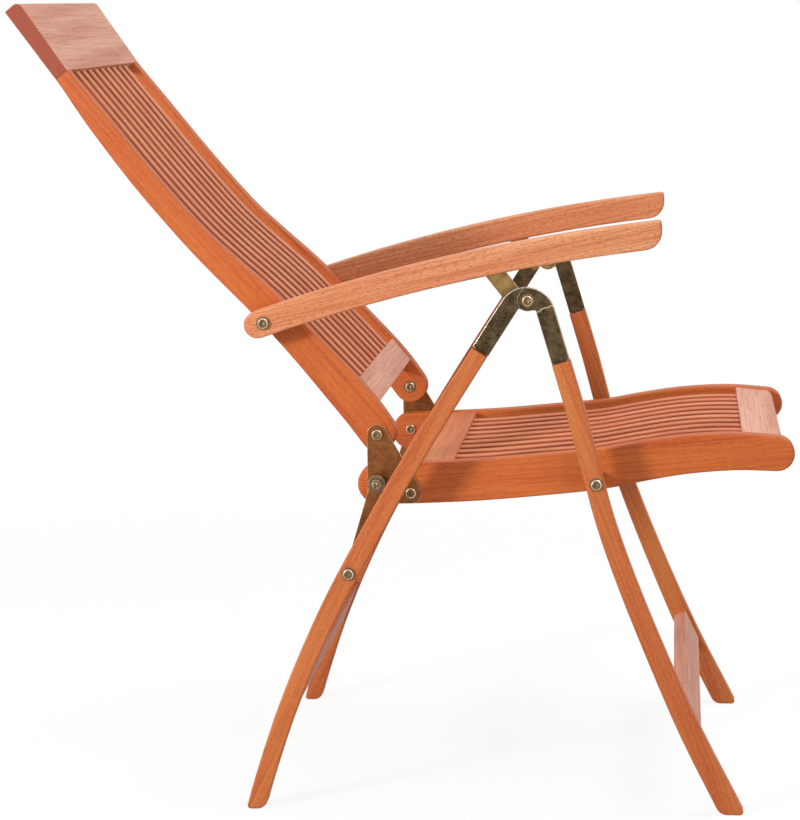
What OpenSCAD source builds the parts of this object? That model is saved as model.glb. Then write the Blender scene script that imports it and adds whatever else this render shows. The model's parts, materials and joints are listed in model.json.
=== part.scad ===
// Folding garden chair in slatted hardwood with steel fittings.
// +Z is up and the chair faces -Y. The origin is on the floor, in the middle of the box round the chair.
// Side views are drawn as [forward, height], with forward measured from the bolt where the legs cross.

/* [Frame across] */
// Width over the outer faces of the seat rails
seat_w = 450; // [400:1:520]
// Thickness of the seat rails and back stiles
rail_t = 26; // [20:0.5:32]
// Thickness of the legs
leg_t = 22; // [18:0.5:28]
// Gap between the seat rail and the inner face of the leg
leg_gap = 35.5; // [33:0.5:42]
// Width of an arm
arm_w = 30; // [24:0.5:31]
// Running gap between faces that turn past each other
run_gap = 0.3; // [0.2:0.05:0.5]
// Radial clearance of a bolt in its hole
fit = 0.05; // [0.02:0.01:0.1]

/* [Legs] */
// Height of the bolt where the legs cross, over the seat pivot bolt
cross_rise = 215.7; // [205:0.1:235]
// Forward reach of the front foot, to its middle
front_foot = 239; // [220:1:260]
// Backward reach of the rear foot, to its middle
rear_foot = 331; // [310:1:350]
// Depth of the front leg in side view
front_leg_d = 24; // [20:0.5:28]
// Depth of the rear leg in side view
rear_leg_d = 22.5; // [19:0.5:26]
// Length of the front strap from the bolt to the end of the wood
front_strap_l = 82; // [70:1:100]
// Length of the rear strap from the bolt to the end of the wood
rear_strap_l = 82; // [70:1:100]
// Depth that a strap is let into the leg
strap_tongue = 42; // [25:1:60]
// Width of a strap
strap_w = 22; // [18:0.5:24]
// Thickness of the steel plates and straps
steel_t = 3; // [2:0.25:4]
// Diameter of the strap eye round the leg bolt
strap_eye_d = 25; // [22:0.5:28]
// Radius of the shoulder that the straps share over the leg bolt
shoulder_r = 34.5; // [33:0.5:37]
// Width of the cross board of the front legs
front_board_w = 43; // [34:1:56]
// Height of the middle of that board
front_board_h = 107.6; // [90:0.1:130]
// Width of the cross board of the rear legs
rear_board_w = 54; // [40:1:66]
// Height of the middle of that board
rear_board_h = 144.9; // [120:0.1:170]
// Thickness of the leg cross boards
cross_board_t = 18; // [12:0.5:20]

/* [Seat] */
// Height of the seat pivot bolt in the front legs
seat_pivot_h = 397; // [385:1:410]
// Distance from the seat pivot bolt back to the rear seat bolt
seat_back_l = 263; // [255:1:270]
// Distance from the seat pivot bolt forward to the rounded rail end
seat_front_l = 212; // [190:1:230]
// Depth of the seat rail at its middle
rail_d = 49; // [44:0.5:52]
// Width of the front board of the seat
seat_front_board_w = 48; // [36:1:60]
// Width of the rear board of the seat
seat_rear_board_w = 66; // [50:1:70]
// Thickness of the boards of the seat
seat_board_t = 20; // [16:0.5:26]

/* [Back] */
// Lean of the back from level, in degrees
back_angle = 129.6; // [124:0.1:133]
// Height of the back hinge bolt over the rear seat bolt
hinge_rise = 57.5; // [54:0.5:62]
// Length of the back above its hinge bolt
back_l = 668; // [620:1:700]
// Depth of a back stile at its lower end
stile_d = 44; // [38:0.5:46]
// Width of the head board
head_board_w = 100; // [80:1:115]
// Width of the lower cross rail of the back
lower_rail_w = 38; // [30:1:46]
// Thickness of the lower cross rail of the back
lower_rail_t = 20; // [14:0.5:22]

/* [Slats] */
// Width of a slat
slat_w = 20; // [14:0.5:28]
// Thickness of a slat
slat_t = 11; // [8:0.5:13]
// Gap between the outermost slat and the frame beside it
slat_side_gap = 39; // [30:0.5:45]
// Depth that a slat is let into a board
slat_tenon = 9; // [5:0.5:14]
// Depth of the slats below the face of the frame
slat_recess = 4; // [1:0.5:6]

/* [Arms] */
// Distance of the arm bolt up the back from the hinge bolt
arm_up = 189; // [175:1:200]
// Slope of the arm at its bolt, in degrees
arm_slope = 18.5; // [16:0.1:21]
// Radius of the arm's long curve
arm_r = 2200; // [1900:10:3000]
// Length of the arm from its bolt to its tip
arm_l = 482; // [455:1:510]
// Depth of an arm in side view
arm_d = 32; // [28:0.5:35]
// Lean of the catch strap from level, in degrees
catch_angle = 128; // [122:0.5:134]
// Distance of the catch strap's middle line behind the leg bolt
catch_side = 13; // [8:0.5:16]
// Width of the catch strap
catch_w = 22; // [14:0.5:24]
// Width of the groove under the arm
groove_w = 12; // [11:0.5:14]
// Depth of the groove under the arm
groove_d = 25; // [20:0.5:26]
// Distance from one catch notch to the next
notch_pitch = 20.1; // [14:0.1:22]

/* [Fittings] */
// Diameter of a bolt
bolt_d = 7; // [5:0.5:8]
// Diameter of a bolt head
head_d = 13; // [12:0.5:15]
// Height of a bolt head
head_h = 4.2; // [3:0.1:5]
// Diameter of a washer
washer_d = 16; // [14.5:0.5:20]
// Thickness of a washer
washer_t = 1.4; // [1:0.1:2]
// Height of a nut
nut_h = 5.5; // [4:0.5:6.5]
// Diameter of the spacing sleeves
sleeve_d = 14; // [12:0.5:16]
// Width of a seat link
link_w = 15; // [12:0.5:20]
// Diameter of the link eyes
link_eye_d = 20; // [17:0.5:24]
// Distance of the link from the outer face of the seat rail
link_out = 11; // [10.5:0.25:16]
// Length that the rear seat bolt stands out past the link
bolt_end = 17; // [12:0.5:17.5]

/* [Hidden] */
$fn = 64;

wood = [0.80, 0.42, 0.24];
pale_wood = [0.88, 0.58, 0.42];
steel = [0.48, 0.42, 0.28];

// Layers across the chair, as distances from its middle
rail_out = seat_w / 2;
rail_in = rail_out - rail_t;
plate_out = rail_out + steel_t;
link_in = rail_out + link_out;
link_outer = link_in + steel_t;
arm_in = plate_out + washer_t;
arm_out = arm_in + arm_w;
leg_in = rail_out + leg_gap;
leg_out = leg_in + leg_t;
front_strap_in = leg_in + leg_t / 2 + steel_t / 2 + run_gap;
rear_strap_in = front_strap_in - steel_t - run_gap;
groove_in = arm_in + (arm_w - groove_w) / 2;
catch_in = groove_in + (groove_w - steel_t) / 2;
slat_count = 9;
slat_pitch = 2 * (rail_in - slat_side_gap - slat_w / 2) / (slat_count - 1);

// Turns a point given along and across a line that starts at c and leans a degrees from level
function at_angle(c, a, along, across) =
    c + along * [cos(a), sin(a)] + across * [sin(a), -cos(a)];

// A smooth curve through rows of numbers, with n steps between two rows
function blend_rows(a, b, c, d, t) =
    0.5 * (2 * b + (c - a) * t + (2 * a - 5 * b + 4 * c - d) * t * t
        + (3 * b - a - 3 * c + d) * t * t * t);
function smooth_rows(rows, n) =
    let (last = len(rows) - 1)
    concat(
        [for (i = [0:last - 1], j = [0:n - 1])
            blend_rows(
                i > 0 ? rows[i - 1] : 2 * rows[0] - rows[1],
                rows[i],
                rows[i + 1],
                i < last - 1 ? rows[i + 2] : 2 * rows[last] - rows[last - 1],
                j / n)],
        [rows[last]]);

// The point of a smooth curve at which its value k equals x
function row_at(rows, x, k = 0) =
    let (
        i = max([for (i = [0:len(rows) - 2]) rows[i][k] <= x ? i : 0]),
        t = (x - rows[i][k]) / (rows[i + 1][k] - rows[i][k]))
    rows[i] + t * (rows[i + 1] - rows[i]);

// One edge of a bar whose rows are [forward, height, depth]
function bar_edge(c, side) =
    [for (i = [0:len(c) - 1])
        let (
            a = c[max(i - 1, 0)],
            b = c[min(i + 1, len(c) - 1)],
            l = norm([b.x - a.x, b.y - a.y]),
            across = [a.y - b.y, b.x - a.x] / l)
        [c[i].x, c[i].y] + side * c[i].z / 2 * across];
function turned(p) = [for (i = [len(p) - 1:-1:0]) p[i]];
function bar_outline(c) = concat(bar_edge(c, 1), turned(bar_edge(c, -1)));
function arc(c, r, from, to, n) =
    [for (i = [0:n]) c + r * [cos(from + (to - from) * i / n), sin(from + (to - from) * i / n)]];

// The corner at q, between p and s, rounded to the radius r
function unit(v) = v / norm(v);
function rounded(p, q, s, r, n = 5) =
    let (
        a = unit(p - q),
        b = unit(s - q),
        half = acos(a * b) / 2,
        c = q + unit(a + b) * r / sin(half),
        from = q + a * r / tan(half) - c,
        to = q + b * r / tan(half) - c)
    [for (i = [0:n]) c + r * unit(from * (1 - i / n) + to * i / n)];

// Half a round at an end of a bar: a is the way that the bar runs there
function half_round(end, a) =
    let (p = arc([end.x, end.y], end.z / 2, a + 90, a - 90, 12))
    [for (i = [1:len(p) - 2]) p[i]];
function way(a, b) = atan2(b.y - a.y, b.x - a.x);
function round_start(c) = half_round(c[0], way(c[1], c[0]));
function round_stop(c) = let (n = len(c)) half_round(c[n - 1], way(c[n - 2], c[n - 1]));

// Legs: each runs from the end of its strap to its foot, bowed off the straight line.
// A row is [part of the height left, bow, depth as a part of the leg's depth].
// The last row lies under the floor, where the foot is sawn level.
leg_pivot = [0, seat_pivot_h + cross_rise];
front_top = at_angle(leg_pivot, -61.9, front_strap_l, 0);
rear_top = at_angle(leg_pivot, 226.9, rear_strap_l, 0);
front_leg_shape = [
    [1, 0, 0.92], [0.889, -4.9, 0.92], [0.774, -11.9, 0.92], [0.648, -19.1, 0.94], [0.509, -20.9, 0.96],
    [0.343, -18.3, 1], [0.181, -12.6, 1.08], [0.026, -1.8, 1.12], [0, 0, 1.12], [-0.03, 2.1, 1.12]
];
rear_leg_shape = [
    [1, 0, 0.93], [0.876, -9.9, 0.98], [0.726, -20, 1.02], [0.596, -24.5, 1.06], [0.464, -28.1, 1.04],
    [0.332, -26.2, 1], [0.2, -19.6, 0.98], [0.069, -7.9, 0.98], [0, 0, 0.98], [-0.03, 3.4, 0.98]
];
function leg_rows(shape, top, foot, d) =
    [for (r = shape) let (p = foot + (top - foot) * r.x) [p.x + r.y, p.y, r.z * d]];

// Seat: rows are [part of the length from the pivot back or forward, rise, depth as a part of the rail's]
seat_pivot = let (r = row_at(turned(smooth_rows(leg_rows(front_leg_shape, front_top,
    [front_foot, 0], front_leg_d), 4)), seat_pivot_h, 1)) [r.x + 2, seat_pivot_h];
rear_seat_bolt = seat_pivot + [-seat_back_l, -7];
rail_back_shape = [[1, -10, 1], [0.81, -9, 1], [0.536, -5.5, 1], [0.262, 0.7, 1], [0, 7.7, 0.98]];
rail_front_shape = [[0.22, 16.5, 0.96], [0.476, 25.3, 0.93], [0.76, 29.3, 0.89], [1, 27, 0.84]];
rail_rows = smooth_rows(concat(
    [for (r = rail_back_shape) [seat_pivot.x - r.x * seat_back_l, seat_pivot.y + r.y, r.z * rail_d]],
    [for (r = rail_front_shape) [seat_pivot.x + r.x * seat_front_l, seat_pivot.y + r.y, r.z * rail_d]]), 3);
rail_tip = rail_rows[len(rail_rows) - 1];
function rail_top(x) = let (r = row_at(rail_rows, x)) r.y + r.z / 2;
seat_front_board_x = rail_tip.x + 7 - seat_front_board_w;
seat_rear_board_x = rear_seat_bolt.x + 89;

// Back: points are [distance up the back, distance in front of the line through the hinge bolt]
hinge = rear_seat_bolt + [0, hinge_rise];
function on_back(v, u) = at_angle(hinge, back_angle, v, u);
stile_shape = [
    [0, 1, 1], [0.045, 3, 1.02], [0.097, 3, 1], [0.195, 1, 0.89], [0.3, -2.5, 0.84], [0.415, -11.5, 0.73],
    [0.494, -16, 0.66], [0.621, -17.5, 0.635], [0.759, -14.5, 0.545], [0.85, -11, 0.41], [1, -6, 0.39]
];
stile_rows = smooth_rows([for (r = stile_shape) [r.x * back_l, r.y, r.z * stile_d]], 3);
stile_top = back_l - head_board_w;
function stile_front(v) = let (r = row_at(stile_rows, v)) r.y + r.z / 2;
function stile_back(v) = let (r = row_at(stile_rows, v)) r.y - r.z / 2;
lower_rail_v = 27;
head_front_top = stile_front(stile_top) + 8;
head_rear_top = stile_back(stile_top) + 5.6;
head_round = 8;

// Middle of the box round the chair, seen from the side
back_reach = on_back(back_l, head_rear_top).x;
front_reach = rail_tip.x + rail_tip.z / 2;
mid = (front_reach + back_reach) / 2;

// Arm: the middle line is one long arc
arm_bolt = on_back(arm_up, -12.2);
arm_centre = at_angle(arm_bolt, arm_slope, 0, arm_r);
function arm_turn(s) = arm_slope + 90 - s / arm_r * 180 / PI;
function on_arm(s, up) = arm_centre + (arm_r + up) * [cos(arm_turn(s)), sin(arm_turn(s))];
arm_steps = 14;
arm_tail = 8;
arm_nose_r = 22;
arm_corner_r = 3;

// The catch strap stands behind its bolt and reaches into the groove; its pin stands in the first notch
catch_dir = [cos(catch_angle), sin(catch_angle)];
catch_start = at_angle(leg_pivot, catch_angle, 0, -catch_side);
pin_d = 6;
pin_drop = 4;
pin_gap = 1;
from_arm_centre = catch_start - arm_centre;
catch_reach = let (
    b = from_arm_centre * catch_dir,
    c = from_arm_centre * from_arm_centre - (arm_r - pin_drop) * (arm_r - pin_drop))
    -b + sqrt(b * b - c);
catch_pin = catch_start + catch_reach * catch_dir;
catch_pin_turn = atan2(catch_pin.y - arm_centre.y, catch_pin.x - arm_centre.x);
catch_pin_s = (arm_slope + 90 - catch_pin_turn) * PI / 180 * arm_r;
notch_count = 5;
groove_from = catch_pin_s - 110;
groove_to = catch_pin_s + 62;
rack_t = 2;
rack_lip = 8;

rear_leg_rows = smooth_rows(leg_rows(rear_leg_shape, rear_top, [-rear_foot, 0], rear_leg_d), 3);
front_leg_rows = smooth_rows(leg_rows(front_leg_shape, front_top, [front_foot, 0], front_leg_d), 3);
link_drop = 101;
link_bolt = let (r = row_at(turned(rear_leg_rows), rear_seat_bolt.y - link_drop, 1)) [r.x, r.y];
plate_bolt = rear_seat_bolt + [40, -13];

// Draws a side view between two layers on the right of the chair
module right_side(from, to) {
    translate([-from, 0, 0])
        rotate([90, 0, -90])
            linear_extrude(to - from)
                translate([-mid, 0])
                    children();
}

// A round bar across the chair at a point of the side view
module across(at, from, to, d) {
    translate([-to, mid - at.x, at.y])
        rotate([0, 90, 0])
            cylinder(d = d, h = to - from);
}

module hole(at, from, to, d = bolt_d) {
    across(at, from - 1, to + 1, d + 2 * fit);
}

module ring(at, from, to, d, bore = bolt_d) {
    difference() {
        across(at, from, to, d);
        hole(at, from, to, bore);
    }
}

module left() {
    mirror([1, 0, 0])
        children();
}

module both_sides() {
    children();
    left()
        children();
}

// Bolt with a domed socket head that faces outwards, and its shank in to the nut
module bolt(at, from, to, d = bolt_d) {
    edge = head_h * 0.45;
    socket = head_d * 0.5;
    difference() {
        union() {
            across(at, from, to + 0.5, d);
            translate([-to, mid - at.x, at.y])
                rotate([0, -90, 0])
                    rotate_extrude()
                        polygon([
                            [0, 0], [head_d / 2, 0], [head_d / 2, edge],
                            [head_d * 0.46, head_h * 0.8], [head_d * 0.38, head_h], [0, head_h]
                        ]);
        }
        translate([-to - head_h - 1, mid - at.x, at.y])
            rotate([0, 90, 0])
                cylinder(d = socket, h = head_h * 0.6 + 1, $fn = 6);
    }
}

// Bolt, the washer under its head, and a nut on its inner end
module bolt_set(at, from, to) {
    bolt(at, from - nut_h - 1, to + washer_t);
    ring(at, to, to + washer_t, washer_d);
    ring(at, from - nut_h, from, head_d);
}

// A flat strap with a round eye at each end
module strap_shape(a, b, w, eye_a, eye_b) {
    lean = atan2(b.y - a.y, b.x - a.x);
    translate(a)
        rotate(lean)
            translate([0, -w / 2])
                square([norm(b - a), w]);
    translate(a)
        circle(d = eye_a);
    translate(b)
        circle(d = eye_b);
}

// The way down the leg from the end of its wood
function strap_way(rows, top) =
    let (
        drop = strap_tongue * (leg_pivot.y - top.y) / norm(leg_pivot - top),
        inner = row_at(turned(rows), top.y - drop, 1))
    unit([inner.x, inner.y] - top);

// The way out of a strap's outer edge: forward on the front strap, backward on the rear one
function strap_out(rows, top, side) = let (down = strap_way(rows, top)) side * [-down.y, down.x];

// Both outer edges run into one round shoulder over the bolt
shoulder = let (
    f = strap_out(front_leg_rows, front_top, 1),
    r = strap_out(rear_leg_rows, rear_top, -1),
    a = front_top * f + strap_w / 2 - shoulder_r,
    b = rear_top * r + strap_w / 2 - shoulder_r)
    [a * r.y - b * f.y, f.x * b - r.x * a] / (f.x * r.y - f.y * r.x);
tongue_w = strap_w - 6;
tongue_gap = 0.5;

// A strap bends round its bolt, stops just over the wood, and goes on into the slot as a narrower tongue
function strap_outline(rows, top, side) =
    let (
        down = strap_way(rows, top),
        out = strap_out(rows, top, side),
        w = out * strap_w / 2,
        t = out * tongue_w / 2,
        end = top - down * tongue_gap)
    concat(
        arc(shoulder, shoulder_r, atan2(out.y, out.x), 90 + side * 5, 10),
        arc(leg_pivot, strap_eye_d / 2, 90 + side * 60, 90 + side * 200, 10),
        [end - w - down * (norm(leg_pivot - top) - strap_eye_d * 0.64), end - w, end - t,
            top - t + down * strap_tongue, top + t + down * strap_tongue, end + t, end + w]);

// A leg is sawn level at the floor, and its foot has a rounded front and rear corner
module leg(rows, top, slot_in, front_r, rear_r) {
    front = bar_edge(rows, 1);
    rear = bar_edge(rows, -1);
    front_toe = row_at(turned(front), 0, 1);
    rear_toe = row_at(turned(rear), 0, 1);
    front_side = [for (p = front) if (p.y > front_r) p];
    rear_side = [for (p = turned(rear)) if (p.y > rear_r) p];
    difference() {
        right_side(leg_in, leg_out)
            polygon(concat(
                front_side, rounded(front_side[len(front_side) - 1], front_toe, rear_toe, front_r),
                rounded(front_toe, rear_toe, rear_side[0], rear_r), rear_side));
        right_side(slot_in, slot_in + steel_t)
            translate(top)
                rotate(way([0, 0], strap_way(rows, top)))
                    translate([-1, -tongue_w / 2])
                        square([strap_tongue + 1, tongue_w]);
        children();
    }
}

module front_leg() {
    color(wood)
        leg(front_leg_rows, front_top, front_strap_in, 4, 14)
            hole(seat_pivot, leg_in, leg_out);
}
module front_leg_right() front_leg();
module front_leg_left() left() front_leg();

module rear_leg() {
    color(wood)
        leg(rear_leg_rows, rear_top, rear_strap_in, 13, 4)
            hole(link_bolt, leg_in, leg_out);
}
module rear_leg_right() rear_leg();
module rear_leg_left() left() rear_leg();

// A board between the legs that leans as the legs do at its height
module cross_board(rows, h, w) {
    here = row_at(turned(rows), h, 1);
    above = row_at(turned(rows), h + w / 2, 1);
    below = row_at(turned(rows), h - w / 2, 1);
    lean = atan2(above.y - below.y, above.x - below.x);
    right_side(-leg_in, leg_in)
        translate([here.x, here.y])
            rotate(lean)
                square([w, cross_board_t], center = true);
}
module front_cross_board() {
    color(pale_wood)
        cross_board(front_leg_rows, front_board_h, front_board_w);
}
module rear_cross_board() {
    color(wood)
        cross_board(rear_leg_rows, rear_board_h, rear_board_w);
}

module leg_strap(rows, top, layer, side) {
    color(steel)
        difference() {
            right_side(layer, layer + steel_t)
                polygon(strap_outline(rows, top, side));
            hole(leg_pivot, layer, layer + steel_t);
        }
}
module front_strap_right() leg_strap(front_leg_rows, front_top, front_strap_in, 1);
module front_strap_left() left() leg_strap(front_leg_rows, front_top, front_strap_in, 1);
module rear_strap_right() leg_strap(rear_leg_rows, rear_top, rear_strap_in, -1);
module rear_strap_left() left() leg_strap(rear_leg_rows, rear_top, rear_strap_in, -1);

module leg_pivot_bolts() {
    color(steel)
        both_sides()
            bolt_set(leg_pivot, catch_in - run_gap, front_strap_in + steel_t);
}
module leg_pivot_bushes() {
    color(steel)
        both_sides()
            ring(leg_pivot, catch_in + steel_t + run_gap, rear_strap_in - run_gap, sleeve_d);
}
module seat_pivot_bolts() {
    color(steel)
        both_sides()
            bolt_set(seat_pivot, rail_in - run_gap, leg_out);
}
module seat_pivot_spacers() {
    color(steel)
        both_sides()
            ring(seat_pivot, rail_out + run_gap, leg_in, sleeve_d);
}

// The inner end of the link bolt stops just short of the link
module link_bolts() {
    color(steel)
        both_sides() {
            bolt(link_bolt, link_outer + run_gap, leg_out + washer_t);
            ring(link_bolt, leg_out, leg_out + washer_t, washer_d);
        }
}
module link_spacers() {
    color(steel)
        both_sides()
            ring(link_bolt, link_outer + run_gap, leg_in, sleeve_d);
}

module link() {
    color(steel)
        difference() {
            right_side(link_in, link_outer)
                strap_shape(rear_seat_bolt, link_bolt, link_w, link_eye_d, link_eye_d);
            hole(rear_seat_bolt, link_in, link_outer);
            hole(link_bolt, link_in, link_outer);
        }
}
module link_right() link();
module link_left() left() link();
module link_nuts() {
    color(steel)
        both_sides() {
            across(link_bolt, link_in - nut_h, link_in, head_d);
            across(link_bolt, link_in - 0.5, link_outer, bolt_d);
        }
}

module seat_rail() {
    color(wood)
        difference() {
            right_side(rail_in, rail_out)
                polygon(concat(
                    bar_edge(rail_rows, 1), round_stop(rail_rows),
                    turned(bar_edge(rail_rows, -1)), round_start(rail_rows)));
            hole(seat_pivot, rail_in, rail_out);
            hole(rear_seat_bolt, rail_in, rail_out);
            hole(plate_bolt, rail_in, rail_out);
        }
}
module seat_rail_right() seat_rail();
module seat_rail_left() left() seat_rail();

// The seat slats follow the top of the rails, a little below it
function seat_slat_rows(from, to) =
    [for (i = [0:8])
        let (x = from + (to - from) * i / 8)
        [x, rail_top(x) - slat_recess - slat_t / 2, slat_t]];
seat_slats = seat_slat_rows(seat_rear_board_x - slat_tenon, seat_front_board_x + slat_tenon);
function slat_place(i) = (i - (slat_count + 1) / 2) * slat_pitch;

module seat_slat(i) {
    color(wood)
        right_side(slat_place(i) - slat_w / 2, slat_place(i) + slat_w / 2)
            polygon(bar_outline(seat_slats));
}

// Slots in the boards take the ends of the slats
module slat_slots(rows) {
    for (i = [1:slat_count])
        right_side(slat_place(i) - slat_w / 2, slat_place(i) + slat_w / 2)
            polygon(bar_outline(rows));
}

module seat_front_board() {
    x = seat_front_board_x;
    front = x + seat_front_board_w;
    top = rail_top(x) - 1;
    fall = 4;
    nose = 9;
    color(pale_wood)
        difference() {
            right_side(-rail_in, rail_in)
                polygon(concat(
                    [[x, top - seat_board_t], [x, top]],
                    arc([front - nose, top - fall - nose], nose, 85, 0, 6),
                    [[front, top - seat_board_t - fall]]));
            slat_slots(seat_slats);
        }
}

module seat_rear_board() {
    x = seat_rear_board_x;
    top = rail_top(x - seat_rear_board_w) - 1;
    color(wood)
        difference() {
            right_side(-rail_in, rail_in)
                polygon([
                    [x - seat_rear_board_w, top], [x - seat_rear_board_w, top - seat_board_t],
                    [x, top - seat_board_t], [x, rail_top(x) - 1]
                ]);
            slat_slots(seat_slats);
        }
}

// Plate that joins the seat rail to the back: upright behind, sloping in front
module hinge_plate() {
    top_r = 12;
    corner_r = 13;
    color(steel)
        difference() {
            right_side(rail_out, plate_out)
                polygon(concat(
                    arc(hinge, top_r, 30, 180, 10),
                    arc(rear_seat_bolt + [0, -corner_r], top_r, 180, 270, 6),
                    arc(plate_bolt, corner_r, 270, 390, 8)));
            hole(hinge, rail_out, plate_out);
            hole(rear_seat_bolt, rail_out, plate_out);
            hole(plate_bolt, rail_out, plate_out);
        }
}
module hinge_plate_right() hinge_plate();
module hinge_plate_left() left() hinge_plate();

module plate_bolts() {
    color(steel)
        both_sides() {
            bolt(plate_bolt, rail_in - nut_h - 1, plate_out);
            ring(plate_bolt, rail_in - nut_h, rail_in, head_d);
        }
}

// The rear seat bolt stands out through the link, and ends inside the leg
module rear_seat_bolts() {
    color(steel)
        both_sides() {
            across(rear_seat_bolt, rail_in, link_outer + bolt_end, bolt_d);
            across(rear_seat_bolt, rail_in - head_h, rail_in, head_d);
        }
}
module rear_seat_nuts() {
    washer_from = link_outer + run_gap;
    nut_from = washer_from + washer_t;
    color(steel)
        both_sides() {
            ring(rear_seat_bolt, plate_out, link_in - run_gap, sleeve_d);
            ring(rear_seat_bolt, washer_from, nut_from, washer_d + 3);
            ring(rear_seat_bolt, nut_from, nut_from + nut_h, head_d * 0.9);
        }
}

module back_hinge_bolts() {
    color(steel)
        both_sides() {
            bolt(hinge, rail_in - nut_h - 1, plate_out + run_gap);
            ring(hinge, rail_in - run_gap - nut_h, rail_in - run_gap, head_d);
        }
}

// All that lies above the square-cut top of the stiles
module above_stile_top() {
    translate(on_back(stile_top, 0))
        rotate(back_angle)
            translate([0, -back_l / 2])
                square(back_l);
}

module back_stile() {
    outline = concat(bar_outline(stile_rows), round_start(stile_rows));
    color(wood)
        difference() {
            right_side(rail_in, rail_out - run_gap)
                difference() {
                    polygon([for (p = outline) on_back(p.x, p.y)]);
                    above_stile_top();
                }
            hole(hinge, rail_in, rail_out);
            hole(arm_bolt, rail_in, rail_out);
        }
}
module back_stile_right() back_stile();
module back_stile_left() left() back_stile();

// The back slats lie a little below the front faces of the stiles
function back_slat_rows(from, to) =
    [for (i = [0:12])
        let (
            v = from + (to - from) * i / 12,
            u = stile_front(min(v, stile_top)) - slat_recess - slat_t / 2,
            p = on_back(v, u))
        [p.x, p.y, slat_t]];
back_slats = back_slat_rows(lower_rail_v + lower_rail_w - slat_tenon, stile_top + slat_tenon);

module back_slat(i) {
    color(wood)
        right_side(slat_place(i) - slat_w / 2, slat_place(i) + slat_w / 2)
            polygon(bar_outline(back_slats));
}

module head_board() {
    front = stile_front(stile_top);
    rear = stile_back(stile_top);
    color(pale_wood)
        difference() {
            right_side(-rail_out + run_gap, rail_out - run_gap)
                polygon([for (p = concat(
                    [[stile_top, rear], [stile_top, front]],
                    arc([back_l - head_round, head_front_top - head_round], head_round, 90, 0, 6),
                    [[back_l, head_rear_top]])) on_back(p.x, p.y)]);
            slat_slots(back_slats);
        }
}

module back_lower_rail() {
    front = stile_front(lower_rail_v) - 1;
    color(pale_wood)
        difference() {
            right_side(-rail_in, rail_in)
                polygon([for (p = [
                    [lower_rail_v, front - lower_rail_t], [lower_rail_v, front],
                    [lower_rail_v + lower_rail_w, front],
                    [lower_rail_v + lower_rail_w, front - lower_rail_t]
                ]) on_back(p.x, p.y)]);
            slat_slots(back_slats);
        }
}

// The arm ends in a half round behind its bolt, and in a nose cut back below
module arm() {
    tail = on_arm(-arm_tail, 0);
    nose_s = arm_l - arm_nose_r;
    step = (nose_s + arm_tail) / arm_steps;
    top_corner = arc([arm_l - arm_corner_r, arm_d / 2 - arm_corner_r], arm_corner_r, 90, 0, 3);
    nose = arc([nose_s, arm_nose_r - arm_d / 2], arm_nose_r, 0, -75, 5);
    color(wood)
        difference() {
            right_side(arm_in, arm_out)
                polygon(concat(
                    [for (i = [0:arm_steps]) on_arm(i * step - arm_tail, arm_d / 2)],
                    [for (p = concat(top_corner, nose)) on_arm(p.x, p.y)],
                    [for (i = [arm_steps:-1:0]) on_arm(i * step - arm_tail, -arm_d / 2)],
                    half_round([tail.x, tail.y, arm_d], arm_turn(-arm_tail) + 90)));
            hole(arm_bolt, arm_in, arm_out);
            right_side(groove_in - rack_t, groove_in + groove_w)
                groove_band(-2, groove_d);
        }
}
module arm_right() arm();
module arm_left() left() arm();

// A band along the groove between two heights over the underside of the arm
module groove_band(low, high) {
    steps = 6;
    step = (groove_to - groove_from) / steps;
    polygon(concat(
        [for (i = [0:steps]) on_arm(groove_from + step * i, high - arm_d / 2)],
        [for (i = [steps:-1:0]) on_arm(groove_from + step * i, low - arm_d / 2)]));
}

// A notch is open below, where the pin comes in
module notch(lean) {
    r = pin_d / 2 + pin_gap;
    rotate(lean)
        polygon(concat(arc([0, 0], r, 0, 180, 8), [[-r, -2 * r], [r, -2 * r]]));
}

// Toothed strip in the groove: one notch for each lean of the back
module rack() {
    right_side(groove_in - rack_t, groove_in)
        difference() {
            groove_band(rack_lip, groove_d);
            for (i = [0:notch_count - 1])
                translate(on_arm(catch_pin_s - i * notch_pitch, -pin_drop))
                    notch(arm_turn(catch_pin_s - i * notch_pitch) - 90);
        }
}
module arm_racks() {
    color(steel)
        both_sides()
            rack();
}

module arm_bolts() {
    color(steel)
        both_sides()
            bolt_set(arm_bolt, rail_in - run_gap, arm_out + run_gap);
}
module arm_washers() {
    color(steel)
        both_sides()
            ring(arm_bolt, rail_out, arm_in - run_gap, washer_d);
}

// Strap from the leg bolt up into the groove, with a cross pin through its end
module catch_shape() {
    half = catch_w / 2;
    heel = at_angle(catch_start, catch_angle, 0, half);
    corner = at_angle(catch_start, catch_angle, 0, -half);
    top = at_angle(catch_pin, catch_angle, 0, -half);
    polygon(concat([heel], rounded(heel, corner, top, catch_w / 4),
        [top, at_angle(catch_pin, catch_angle, 0, half)]));
    translate(leg_pivot)
        circle(d = strap_eye_d);
    translate(catch_pin)
        circle(d = pin_d + 6);
}
module catch() {
    pin_side = (groove_w - steel_t) / 2 - pin_gap;
    color(steel) {
        difference() {
            right_side(catch_in, catch_in + steel_t)
                catch_shape();
            hole(leg_pivot, catch_in, catch_in + steel_t);
        }
        across(catch_pin, catch_in - pin_side, catch_in + steel_t + pin_side, pin_d);
    }
}
module catch_right() catch();
module catch_left() left() catch();

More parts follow.
